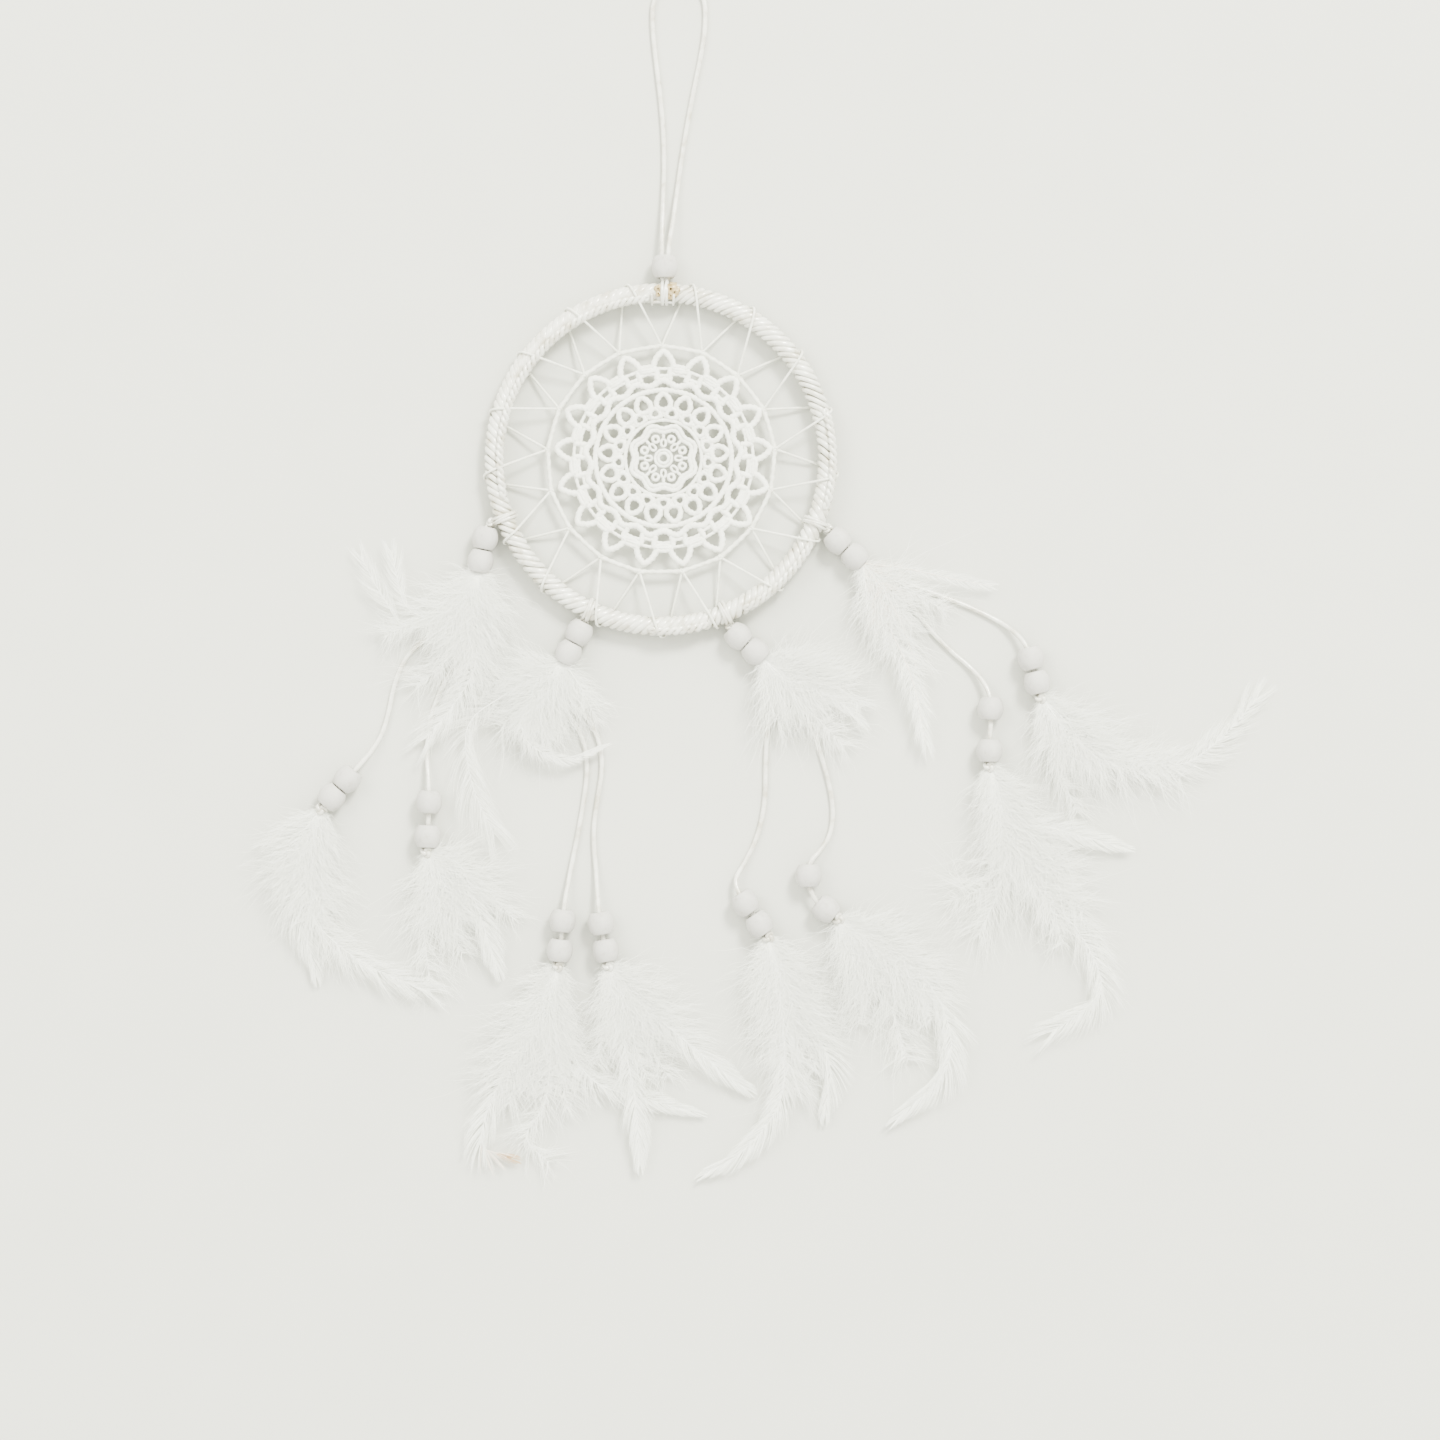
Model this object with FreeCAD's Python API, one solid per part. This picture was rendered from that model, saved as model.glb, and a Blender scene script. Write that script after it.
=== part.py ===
import FreeCAD, Part
import os
from math import acos, cos, pi, radians, sin, tan

# A dream catcher lying flat: a wrapped ring holds a crocheted doily on a thread web. A beaded hanging
# loop is tied to the top of the ring, and four beaded pendants to its lower half. Each pendant divides
# into two cords that end in beads and feathers.
# Millimetres. +Z is up, +Y points to the hanging loop, and the origin is the ring's centre, on the
# surface that everything lies on.

# --- Driving dimensions ---
RING_R = 51.9  # middle line of the ring
CORE_R = 1.55  # steel wire inside the wrap
WRAP_R = 3.1  # outside of the wrapped tube
CORE_GAP = 0.04
RUN_GAP = 0.05  # between the wrap and a tie that turns on it
MID_Z = 4.15  # height of the ring, the web and every bead bore

CORD_R = 0.75  # satin cord
LEG_SIDE = 0.85  # half the distance between two cords in one bore
TIE_R = 0.5  # a cord pressed flat where it goes round the ring
TIE_HALF = 0.75  # half the distance between the two turns of a tie
KNOT_R = 1.1
KNOT_HALF = 1.0  # half the knot's width along the ring
KNOT_OUT = 4.45  # from the ring's middle line to the knot of a tie
LINK_R = 1.0  # the doubled cord between that knot and the first bead
LINK_IN = 1.4  # how far it reaches into that bead
LEG_IN = 0.3  # where it divides into two legs

BEAD_R = 4.1
BEAD_END_R = 2.85
BEAD_H = 7.2
# The outer ridges of a bead's bands: radius, and distance from the bead's middle.
BEAD_BANDS = ((BEAD_R, 0.8), (3.68, 2.2), (BEAD_END_R, BEAD_H / 2))
BEAD_PITCH = 7.35  # between the centres of a pendant's two beads
BORE_R = 2.0
END_KNOT_R = 2.3  # wider than a bore, so it holds the beads on
END_KNOT_OUT = 1.3
LEG_RECESS = 0.5  # from a pendant's last mouth in to the ends of the tie's legs, clear of the strands

ANCHORS = 17  # corners of the web, and petals of the doily
WEB_R = 35.5
THREAD_R = 0.32
LACE_CORD_R = 0.6
CORNER_KNOT_R = 0.85
SPOKE_GAP = 1.2
WRAP_SHIFT = 10.6  # degrees from a corner to where its thread goes round the ring
WRAP_NUDGE = {9: -2.6}  # the thread beside the lower right tie keeps clear of it

DOILY_CENTRE = (0.8, 0.4)  # it hangs a little off the ring's centre
DOILY_T = 1.2
DOILY_R = 28.6
PETAL_AT = 30.2
PETAL_R = 3.4
PETAL_HOLE_R = 1.5

QUILL_R = 0.45
QUILL_RISE = 1.2  # above the bore's axis, over the two cords
QUILL_IN = 2.5
UPPER_TUFT_Z = (3.5, 9.0)
LOWER_TUFT_Z = (0.4, 6.4)

HANGER_ANGLE = 88.7
GLUE_ANGLES = (84.8, 87.0)
GLUE_T = 0.35


def vec(x, y, z=0.0):
    return FreeCAD.Vector(x, y, z)


def heading(angle):
    """The level direction at this many degrees from +X."""
    return vec(cos(radians(angle)), sin(radians(angle)))


def on_ring(angle, radius=RING_R, z=MID_Z):
    return heading(angle) * radius + vec(0, 0, z)


def fused(shapes):
    """One clean solid, or a group of solids where they don't meet."""
    first, *others = shapes
    return first.fuse(others).removeSplitter() if others else first


def save(name, shape):
    shape.exportStep(f"parts/{name}.step")


def rod(start, end, radius):
    way = end - start
    return Part.makeCylinder(radius, way.Length, start, way)


def ball(centre, radius):
    return Part.makeSphere(radius, centre)


# --- Cords ---


def corner_radius(before, corner, after):
    """The largest arc that leaves a tenth of the shorter run straight."""
    back, on = before - corner, after - corner
    turn = pi - back.getAngle(on)
    return 0.45 * min(back.Length, on.Length) / tan(turn / 2)


def cord_path(points):
    """Straight runs joined by tangent arcs, and the smallest arc's radius."""
    edges, radii, at = [], [], points[0]
    for before, corner, after in zip(points, points[1:], points[2:]):
        back, on = (before - corner).normalize(), (after - corner).normalize()
        radius = corner_radius(before, corner, after)
        half = back.getAngle(on) / 2
        reach = radius / tan(half)
        middle = (back + on).normalize()
        arc_start, arc_end = corner + back * reach, corner + on * reach
        arc_middle = corner + middle * (radius / sin(half) - radius)
        edges.append(Part.LineSegment(at, arc_start).toShape())
        edges.append(Part.Arc(arc_start, arc_middle, arc_end).toShape())
        radii.append(radius)
        at = arc_end
    edges.append(Part.LineSegment(at, points[-1]).toShape())
    return Part.Wire(edges), min(radii)


def cord(name, route, radius=CORD_R):
    """A round tube along a route. Prints its smallest radius, and its volume against section x length."""
    points = [vec(*p) for p in route]
    path, smallest = cord_path(points)
    section = Part.Wire(Part.Circle(points[0], points[1] - points[0], radius).toShape())
    tube = path.makePipeShell([section], True, False)
    share = tube.Volume / (pi * radius**2 * path.Length)
    print(f"{name}: length {path.Length:.1f}, smallest radius {smallest:.1f}, volume share {share:.4f}")
    return tube


# --- Beads ---


def bead(centre, angle):
    """A wooden barrel turned in five bands, with flat ends, bored along its heading."""
    upper = [*BEAD_BANDS, (BORE_R, BEAD_H / 2)]
    lower = [(r, -z) for r, z in reversed(upper)]
    outline = Part.makePolygon([vec(r, 0, z) for r, z in [*upper, *lower, upper[0]]])
    barrel = Part.Face(outline).revolve(vec(0, 0), vec(0, 0, 1), 360)
    turn = FreeCAD.Rotation(vec(0, 0, 1), heading(angle))
    barrel.Placement = FreeCAD.Placement(vec(*centre, MID_Z), turn)
    return barrel


def mouth(centre, angle, way=1, beyond=0.0):
    """The middle of a bead's end face: 1 is where its cord leaves, and -1 where it comes in."""
    return vec(*centre, MID_Z) + heading(angle) * way * (BEAD_H / 2 + beyond)


# --- Ring, web and doily ---


def hoop_core():
    return Part.makeTorus(RING_R, CORE_R, vec(0, 0, MID_Z))


def hoop_wrap():
    outside = Part.makeTorus(RING_R, WRAP_R, vec(0, 0, MID_Z))
    return outside.cut(Part.makeTorus(RING_R, CORE_R + CORE_GAP, vec(0, 0, MID_Z)))


def glue_dab():
    """Dried glue over the end of the wrap, on a short stretch of the ring's outer half."""
    low, high = GLUE_ANGLES
    centre, outer, inner = vec(RING_R, 0, MID_Z), WRAP_R + GLUE_T, WRAP_R
    arcs = [
        Part.Arc(centre + vec(0, 0, r), centre + vec(r, 0, 0), centre + vec(0, 0, -r)).toShape()
        for r in (outer, inner)
    ]
    ends = [
        Part.LineSegment(centre + vec(0, 0, s * inner), centre + vec(0, 0, s * outer)).toShape()
        for s in (1, -1)
    ]
    section = Part.Face(Part.Wire(Part.__sortEdges__([*arcs, *ends])))
    section.rotate(vec(0, 0), vec(0, 0, 1), low)
    return section.revolve(vec(0, 0), vec(0, 0, 1), high - low)


def corner_angle(k):
    return 90 + 360 / ANCHORS * k


def web_ring():
    """A cord through the doily's petals, pulled to a corner and knotted at each anchor."""
    corners = [on_ring(corner_angle(k), WEB_R) for k in range(ANCHORS)]
    ring = ball(corners[0], CORNER_KNOT_R)
    for corner, following in zip(corners, corners[1:]):
        ring = ring.fuse(rod(corner, following, LACE_CORD_R)).fuse(ball(following, CORNER_KNOT_R))
    return ring.fuse(rod(corners[-1], corners[0], LACE_CORD_R))


def web_anchor(k):
    """A thread from one corner over the front of the ring, round it, and back to the next corner."""
    wrap_at = corner_angle(k) + WRAP_SHIFT + WRAP_NUDGE.get(k, 0)
    out, loop_r = heading(wrap_at), WRAP_R + RUN_GAP + THREAD_R
    middle = on_ring(wrap_at)
    rise = acos(loop_r / (RING_R - WEB_R))
    ends = [middle + out * (-cos(rise) * loop_r) + vec(0, 0, way * sin(rise) * loop_r) for way in (1, -1)]
    arc = Part.Wire(Part.Arc(ends[0], middle + out * loop_r, ends[1]).toShape())
    start_way = arc.Edges[0].tangentAt(arc.Edges[0].FirstParameter)
    section = Part.Wire(Part.Circle(ends[0], start_way, THREAD_R).toShape())
    pieces = [arc.makePipeShell([section], True, True)]
    for end, corner in zip(ends, (corner_angle(k), corner_angle(k + 1))):
        inner = on_ring(corner, WEB_R)
        inner = inner + (end - inner).normalize() * SPOKE_GAP
        pieces += [rod(inner, end, THREAD_R), ball(end, THREAD_R)]
    return fused(pieces)


def hole_ring(count, at, radius, shift=0.0):
    """Round holes evenly spaced about the doily's middle, the first at 90 degrees plus a shift."""
    low = MID_Z - DOILY_T
    spots = [heading(90 + shift + 360 / count * k) * at for k in range(count)]
    return [Part.makeCylinder(radius, 2 * DOILY_T, spot + vec(0, 0, low)) for spot in spots]


def doily():
    """A lace disc: petals round its edge, and rings of holes between its rows of stitches."""
    low, half_step = vec(0, 0, MID_Z - DOILY_T / 2), 180 / ANCHORS
    petals = [
        Part.makeCylinder(PETAL_R, DOILY_T, heading(corner_angle(k)) * PETAL_AT + low)
        for k in range(ANCHORS)
    ]
    disc = fused([Part.makeCylinder(DOILY_R, DOILY_T, low), *petals])
    holes = [
        *hole_ring(ANCHORS, PETAL_AT, PETAL_HOLE_R),
        *hole_ring(ANCHORS, 24.7, 1.7, half_step),
        *hole_ring(ANCHORS, 22.8, 1.1),
        *hole_ring(ANCHORS, 17.1, 1.2),
        *hole_ring(ANCHORS, 14.2, 1.0, half_step),
        *hole_ring(8, 6.1, 0.8, 22.5),
        *hole_ring(8, 3.8, 0.5, 22.5),
        *hole_ring(1, 0, 0.8),
    ]
    lace = disc.cut(holes)
    lace.translate(vec(*DOILY_CENTRE))
    return lace


# --- Ties ---


def tie_turn(angle, side):
    """One turn of cord round the ring, that far to one side of the tie's middle."""
    along, inward = heading(angle + 90), heading(angle + 180)
    middle = on_ring(angle) + along * side
    centre = middle + inward * (WRAP_R + RUN_GAP + TIE_R)
    # the circle starts on the side that faces the ring, which keeps the turn's seam away from the knot
    around = [centre - inward * TIE_R, centre + along * TIE_R, centre + inward * TIE_R]
    section = Part.Face(Part.Wire(Part.Circle(*around).toShape()))
    return section.revolve(middle, along, 360)


def tie(angle):
    """A cord that goes twice round the ring and is knotted at its outer side."""
    along, knot = heading(angle + 90), knot_centre(angle)
    turns = [tie_turn(angle, side) for side in (-TIE_HALF, TIE_HALF)]
    return [*turns, rod(knot - along * KNOT_HALF, knot + along * KNOT_HALF, KNOT_R)]


def knot_centre(angle):
    return on_ring(angle, RING_R + KNOT_OUT)


def legs(angle, first, last):
    """The doubled cord from a tie's knot, through two beads in line, each given as (centre, heading)."""
    link = rod(knot_centre(angle), mouth(*first, way=-1, beyond=-LINK_IN), LINK_R)
    side = heading(first[1] + 90) * LEG_SIDE
    start, end = mouth(*first, way=-1, beyond=-LEG_IN), mouth(*last, beyond=-LEG_RECESS)
    return [link, *(rod(start + side * s, end + side * s, CORD_R) for s in (-1, 1))]


# --- Feathers ---


def tuft(root, tip, width, heights):
    """The room that a bunch of feathers fills: a flat pad, widest in its middle."""
    low, high = heights
    root, tip = vec(*root, low), vec(*tip, low)
    middle, way = (root + tip) * 0.5, tip - root
    across = vec(-way.y, way.x).normalize() * (width / 2)
    sides = [Part.Arc(root, middle + across, tip).toShape(), Part.Arc(tip, middle - across, root).toShape()]
    return Part.Face(Part.Wire(sides)).extrude(vec(0, 0, high - low))


def quill(bead_spec, root):
    """The bare shafts of the upper feathers, from inside the last bead to the tuft."""
    rise = vec(0, 0, QUILL_RISE)
    inside = mouth(*bead_spec, way=1, beyond=-QUILL_IN) + rise
    outside = mouth(*bead_spec, way=1, beyond=0.6) + rise
    in_tuft = vec(*root, MID_Z + QUILL_RISE) + (vec(*root, MID_Z + QUILL_RISE) - outside).normalize() * 2
    return fused([rod(inside, outside, QUILL_R), ball(outside, QUILL_R), rod(outside, in_tuft, QUILL_R)])


# Each pendant: the angle of its tie on the ring, its lower bead's centre, the heading of its two beads,
# and its upper tuft as root, tip and width.
PENDANTS = {
    "left": (200.5, (-56.2, -31.7), 258.5, ((-62.0, -42.5), (-72.0, -76.0), 16)),
    "lower_left": (244.6, (-28.9, -60.3), 242, ((-35.5, -73.0), (-49.0, -92.0), 16)),
    "lower_right": (292.6, (29.5, -59.9), 318, ((41.5, -69.5), (60.0, -86.0), 14)),
    "right": (337.6, (60.4, -30.3), 317.2, ((71.5, -45.5), (80.5, -80.0), 12)),
}

# Each strand: its pendant, its cord's route, its sliding bead and its end bead, and its feathers as root,
# tip and width. A route starts at the mouth of the pendant's last bead, comes down to the surface, lies
# along it, and climbs into the bore of its own beads.
STRANDS = {
    "left_outer": (
        "left",
        [
            (-57.8, -35.1, 4.15), (-60.8, -43.8, 1.7), (-66.0, -50.5, 0.8), (-73.8, -55.8, 0.8),
            (-80.4, -62.2, 0.8), (-83.6, -71.0, 0.8), (-85.1, -79.5, 0.8), (-87.9, -88.0, 1.4),
            (-95.2, -96.8, 4.5), (-100.0, -102.4, 4.4), (-104.8, -107.8, 4.1),
        ],
        ((-97.6, -99.5), 228.8),
        ((-102.5, -105.1), 228.8),
        ((-107.8, -111.2), (-119.0, -160.0), 15),
    ),
    "left_inner": (
        "left",
        [
            (-56.1, -35.4, 4.15), (-57.8, -44.6, 1.7), (-60.4, -54.0, 0.8), (-64.6, -63.6, 0.8),
            (-69.4, -72.8, 0.8), (-72.6, -82.2, 0.8), (-73.1, -92.0, 1.3), (-72.1, -103.0, 4.5),
            (-72.3, -112.1, 4.4), (-72.9, -120.9, 4.1),
        ],
        ((-72.2, -106.6), 267.3),
        ((-72.7, -117.3), 267.3),
        ((-72.4, -125.2), (-60.0, -164.0), 13),
    ),
    "lower_left_outer": (
        "lower_left",
        [
            (-31.3, -63.1, 4.15), (-33.3, -69.6, 2.5), (-31.6, -76.6, 1.1), (-26.8, -82.2, 0.8),
            (-23.6, -88.8, 0.8), (-22.9, -97.0, 0.8), (-24.2, -107.0, 0.8), (-26.2, -118.0, 0.8),
            (-28.4, -128.6, 1.2), (-30.3, -140.0, 4.5), (-30.9, -148.3, 4.4), (-31.8, -156.4, 4.1),
        ],
        ((-30.6, -143.6), 264.4),
        ((-31.5, -152.8), 264.4),
        ((-33.0, -160.8), (-52.0, -218.0), 15),
    ),
    "lower_left_inner": (
        "lower_left",
        [
            (-29.8, -63.9, 4.15), (-30.9, -69.6, 2.7), (-28.2, -75.6, 1.2), (-23.0, -79.8, 0.8),
            (-19.4, -87.0, 0.8), (-18.1, -95.5, 0.8), (-19.9, -105.8, 0.8), (-21.3, -116.5, 0.8),
            (-20.3, -127.6, 1.2), (-19.4, -140.6, 4.5), (-18.1, -148.6, 4.4), (-16.6, -156.3, 4.1),
        ],
        ((-18.7, -144.4), 280.1),
        ((-17.2, -152.8), 280.1),
        ((-14.4, -160.4), (13.0, -212.0), 15),
    ),
    "lower_right_inner": (
        "lower_right",
        [
            (31.6, -62.9, 4.15), (34.9, -68.4, 2.7), (35.1, -76.2, 1.2), (33.1, -84.4, 0.8),
            (32.6, -94.6, 0.8), (32.6, -106.0, 0.8), (30.4, -117.0, 0.8), (26.3, -125.4, 1.2),
            (22.8, -130.8, 2.9), (24.3, -135.4, 4.4), (28.6, -141.4, 4.4), (32.7, -147.6, 4.1),
        ],
        ((26.3, -138.1), 304),
        ((30.7, -144.6), 304),
        ((34.6, -151.6), (35.0, -214.0), 15),
    ),
    "lower_right_outer": (
        "lower_right",
        [
            (32.8, -61.7, 4.15), (37.8, -66.6, 2.5), (43.2, -73.8, 1.1), (46.6, -82.0, 0.8),
            (49.8, -91.2, 0.8), (52.6, -101.2, 0.8), (53.9, -110.0, 0.8), (52.9, -116.8, 1.0),
            (50.0, -121.5, 2.4), (45.9, -125.6, 4.2), (45.8, -132.6, 4.4), (48.3, -137.6, 4.3),
            (51.3, -140.1, 4.2), (54.2, -142.3, 4.1),
        ],
        ((45.9, -129.5), 270),
        ((51.4, -140.0), 321.5),
        ((58.0, -145.2), (84.0, -198.0), 15),
    ),
    "right_inner": (
        "right",
        [
            (62.5, -33.4, 4.15), (67.8, -37.2, 2.5), (73.2, -40.9, 1.1), (79.0, -46.0, 0.8),
            (84.0, -53.2, 0.8), (90.4, -59.6, 0.8), (96.6, -64.7, 1.1), (100.9, -69.5, 2.9),
            (102.6, -73.9, 4.4), (102.8, -80.6, 4.5), (102.3, -87.5, 4.4), (102.3, -94.2, 4.1),
        ],
        ((102.6, -77.5), 269),
        ((102.3, -90.6), 269),
        ((102.6, -98.6), (119.0, -170.0), 19),
    ),
    "right_outer": (
        "right",
        [
            (63.6, -32.1, 4.15), (69.8, -35.8, 2.4), (76.6, -38.5, 1.0), (84.5, -41.4, 0.8),
            (92.6, -44.3, 0.8), (100.4, -47.7, 0.8), (107.0, -51.2, 1.1), (111.6, -54.8, 2.9),
            (114.3, -58.9, 4.4), (116.3, -66.0, 4.4), (118.1, -72.9, 4.1),
        ],
        ((115.2, -61.9), 284),
        ((117.1, -69.4), 284),
        ((121.4, -76.2), (180.0, -84.0), 17),
    ),
}

HANGER_BEAD = ((1.2, 60.0), 90)
HANGER_ROUTE = [
    (0.35, 57.8, 4.15), (0.3, 65.0, 4.3), (0.45, 73.5, 2.7), (0.7, 82.0, 1.1), (1.0, 91.5, 0.8),
    (0.8, 102.0, 0.8), (-0.1, 112.5, 0.8), (-1.4, 123.0, 0.8), (-2.6, 133.5, 0.8), (-2.8, 143.6, 0.8),
    (1.9, 149.6, 0.8), (8.9, 150.4, 0.8), (13.7, 144.9, 0.8), (13.9, 135.0, 0.8), (12.2, 124.8, 0.8),
    (10.0, 114.6, 0.8), (8.1, 104.4, 0.8), (6.4, 94.2, 0.8), (5.1, 84.4, 1.1), (3.9, 75.0, 2.7),
    (2.1, 65.2, 4.3), (2.05, 57.8, 4.15),
]


def end_knot(bead_spec):
    return ball(mouth(*bead_spec, way=1, beyond=END_KNOT_OUT), END_KNOT_R)


def build_ring():
    save("hoop_core", hoop_core())
    save("hoop_wrap", hoop_wrap())
    save("glue_dab", glue_dab())
    save("web_ring", web_ring())
    save("web_thread", Part.makeCompound([web_anchor(k) for k in range(ANCHORS)]))
    save("doily", doily())


def build_hanger():
    save("hanger_tie", fused(tie(HANGER_ANGLE)))
    save("hanger_bead", bead(*HANGER_BEAD))
    save("hanger_cord", cord("hanger_cord", HANGER_ROUTE))


def build_pendant(name, angle, lower, bead_angle, feathers):
    upper = vec(*lower) - heading(bead_angle) * BEAD_PITCH
    first, last = ((upper.x, upper.y), bead_angle), (lower, bead_angle)
    save(f"{name}_tie", fused([*tie(angle), *legs(angle, first, last)]))
    save(f"{name}_upper_bead", bead(*first))
    save(f"{name}_lower_bead", bead(*last))
    root, tip, width = feathers
    save(f"{name}_feathers", fused([tuft(root, tip, width, UPPER_TUFT_Z), quill(last, root)]))


def build_strand(name, route, slider, end_bead, feathers):
    tube = cord(f"{name}_cord", route)
    save(f"{name}_cord", fused([tube, end_knot(end_bead)]))
    save(f"{name}_slider", bead(*slider))
    save(f"{name}_end_bead", bead(*end_bead))
    save(f"{name}_feathers", tuft(*feathers, LOWER_TUFT_Z))


os.makedirs("parts", exist_ok=True)
build_ring()
build_hanger()
for pendant, spec in PENDANTS.items():
    build_pendant(pendant, *spec)
for strand, (_, *spec) in STRANDS.items():
    build_strand(strand, *spec)
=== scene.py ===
import bpy
import numpy as np
from math import cos, pi, radians, sin
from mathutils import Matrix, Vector


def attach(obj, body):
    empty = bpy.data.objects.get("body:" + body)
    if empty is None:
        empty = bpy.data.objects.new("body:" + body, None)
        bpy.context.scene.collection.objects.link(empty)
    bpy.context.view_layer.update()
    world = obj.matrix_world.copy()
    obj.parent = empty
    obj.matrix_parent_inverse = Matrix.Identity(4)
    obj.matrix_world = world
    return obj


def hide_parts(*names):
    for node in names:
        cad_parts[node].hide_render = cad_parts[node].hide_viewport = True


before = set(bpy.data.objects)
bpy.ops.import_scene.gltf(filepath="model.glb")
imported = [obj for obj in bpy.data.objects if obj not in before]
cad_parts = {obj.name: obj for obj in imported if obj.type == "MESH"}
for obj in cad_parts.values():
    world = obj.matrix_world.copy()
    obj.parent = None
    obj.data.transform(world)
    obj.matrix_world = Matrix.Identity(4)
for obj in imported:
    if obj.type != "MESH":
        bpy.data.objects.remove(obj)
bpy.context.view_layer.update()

# The dream catcher lies flat on a pale surface, seen from straight above. Sizes below are in
# millimetres, and to_metres() turns them into the frame's metres where a mesh or curve is made.
MM = 0.001

# --- Sizes shared with the CAD frame ---
RING_R = 51.9
WRAP_R = 3.1
MID_Z = 4.15
CORD_R = 0.75
LEG_SIDE = 0.85
KNOT_OUT = 4.45
BEAD_R = 4.1
BEAD_END_R = 2.85
BEAD_H = 7.2
BORE_R = 2.0
BEAD_PITCH = 7.35
END_KNOT_OUT = 1.3
ANCHORS = 17
WEB_R = 35.5
DOILY_CENTRE = np.array([0.8, 0.4, MID_Z])
HANGER_ANGLE = 88.7

# Each pendant: the angle of its tie on the ring, its lower bead's centre and the heading of its beads.
PENDANTS = {
    "left": (200.5, (-56.2, -31.7), 258.5),
    "lower_left": (244.6, (-28.9, -60.3), 242),
    "lower_right": (292.6, (29.5, -59.9), 318),
    "right": (337.6, (60.4, -30.3), 317.2),
}

# Each strand: its cord's length, its route, and its sliding bead and end bead as (centre, heading).
STRANDS = {
    "left_outer": (
        89.6,
        [
            (-57.8, -35.1, 4.15), (-60.8, -43.8, 1.7), (-66.0, -50.5, 0.8), (-73.8, -55.8, 0.8),
            (-80.4, -62.2, 0.8), (-83.6, -71.0, 0.8), (-85.1, -79.5, 0.8), (-87.9, -88.0, 1.4),
            (-95.2, -96.8, 4.5), (-100.0, -102.4, 4.4), (-104.8, -107.8, 4.1),
        ],
        ((-97.6, -99.5), 228.8),
        ((-102.5, -105.1), 228.8),
    ),
    "left_inner": (
        89.3,
        [
            (-56.1, -35.4, 4.15), (-57.8, -44.6, 1.7), (-60.4, -54.0, 0.8), (-64.6, -63.6, 0.8),
            (-69.4, -72.8, 0.8), (-72.6, -82.2, 0.8), (-73.1, -92.0, 1.3), (-72.1, -103.0, 4.5),
            (-72.3, -112.1, 4.4), (-72.9, -120.9, 4.1),
        ],
        ((-72.2, -106.6), 267.3),
        ((-72.7, -117.3), 267.3),
    ),
    "lower_left_outer": (
        97.3,
        [
            (-31.3, -63.1, 4.15), (-33.3, -69.6, 2.5), (-31.6, -76.6, 1.1), (-26.8, -82.2, 0.8),
            (-23.6, -88.8, 0.8), (-22.9, -97.0, 0.8), (-24.2, -107.0, 0.8), (-26.2, -118.0, 0.8),
            (-28.4, -128.6, 1.2), (-30.3, -140.0, 4.5), (-30.9, -148.3, 4.4), (-31.8, -156.4, 4.1),
        ],
        ((-30.6, -143.6), 264.4),
        ((-31.5, -152.8), 264.4),
    ),
    "lower_left_inner": (
        97.2,
        [
            (-29.8, -63.9, 4.15), (-30.9, -69.6, 2.7), (-28.2, -75.6, 1.2), (-23.0, -79.8, 0.8),
            (-19.4, -87.0, 0.8), (-18.1, -95.5, 0.8), (-19.9, -105.8, 0.8), (-21.3, -116.5, 0.8),
            (-20.3, -127.6, 1.2), (-19.4, -140.6, 4.5), (-18.1, -148.6, 4.4), (-16.6, -156.3, 4.1),
        ],
        ((-18.7, -144.4), 280.1),
        ((-17.2, -152.8), 280.1),
    ),
    "lower_right_inner": (
        91.0,
        [
            (31.6, -62.9, 4.15), (34.9, -68.4, 2.7), (35.1, -76.2, 1.2), (33.1, -84.4, 0.8),
            (32.6, -94.6, 0.8), (32.6, -106.0, 0.8), (30.4, -117.0, 0.8), (26.3, -125.4, 1.2),
            (22.8, -130.8, 2.9), (24.3, -135.4, 4.4), (28.6, -141.4, 4.4), (32.7, -147.6, 4.1),
        ],
        ((26.3, -138.1), 304),
        ((30.7, -144.6), 304),
    ),
    "lower_right_outer": (
        92.3,
        [
            (32.8, -61.7, 4.15), (37.8, -66.6, 2.5), (43.2, -73.8, 1.1), (46.6, -82.0, 0.8),
            (49.8, -91.2, 0.8), (52.6, -101.2, 0.8), (53.9, -110.0, 0.8), (52.9, -116.8, 1.0),
            (50.0, -121.5, 2.4), (45.9, -125.6, 4.2), (45.8, -132.6, 4.4), (48.3, -137.6, 4.3),
            (51.3, -140.1, 4.2), (54.2, -142.3, 4.1),
        ],
        ((45.9, -129.5), 270),
        ((51.4, -140.0), 321.5),
    ),
    "right_inner": (
        78.7,
        [
            (62.5, -33.4, 4.15), (67.8, -37.2, 2.5), (73.2, -40.9, 1.1), (79.0, -46.0, 0.8),
            (84.0, -53.2, 0.8), (90.4, -59.6, 0.8), (96.6, -64.7, 1.1), (100.9, -69.5, 2.9),
            (102.6, -73.9, 4.4), (102.8, -80.6, 4.5), (102.3, -87.5, 4.4), (102.3, -94.2, 4.1),
        ],
        ((102.6, -77.5), 269),
        ((102.3, -90.6), 269),
    ),
    "right_outer": (
        73.5,
        [
            (63.6, -32.1, 4.15), (69.8, -35.8, 2.4), (76.6, -38.5, 1.0), (84.5, -41.4, 0.8),
            (92.6, -44.3, 0.8), (100.4, -47.7, 0.8), (107.0, -51.2, 1.1), (111.6, -54.8, 2.9),
            (114.3, -58.9, 4.4), (116.3, -66.0, 4.4), (118.1, -72.9, 4.1),
        ],
        ((115.2, -61.9), 284),
        ((117.1, -69.4), 284),
    ),
}

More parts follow.
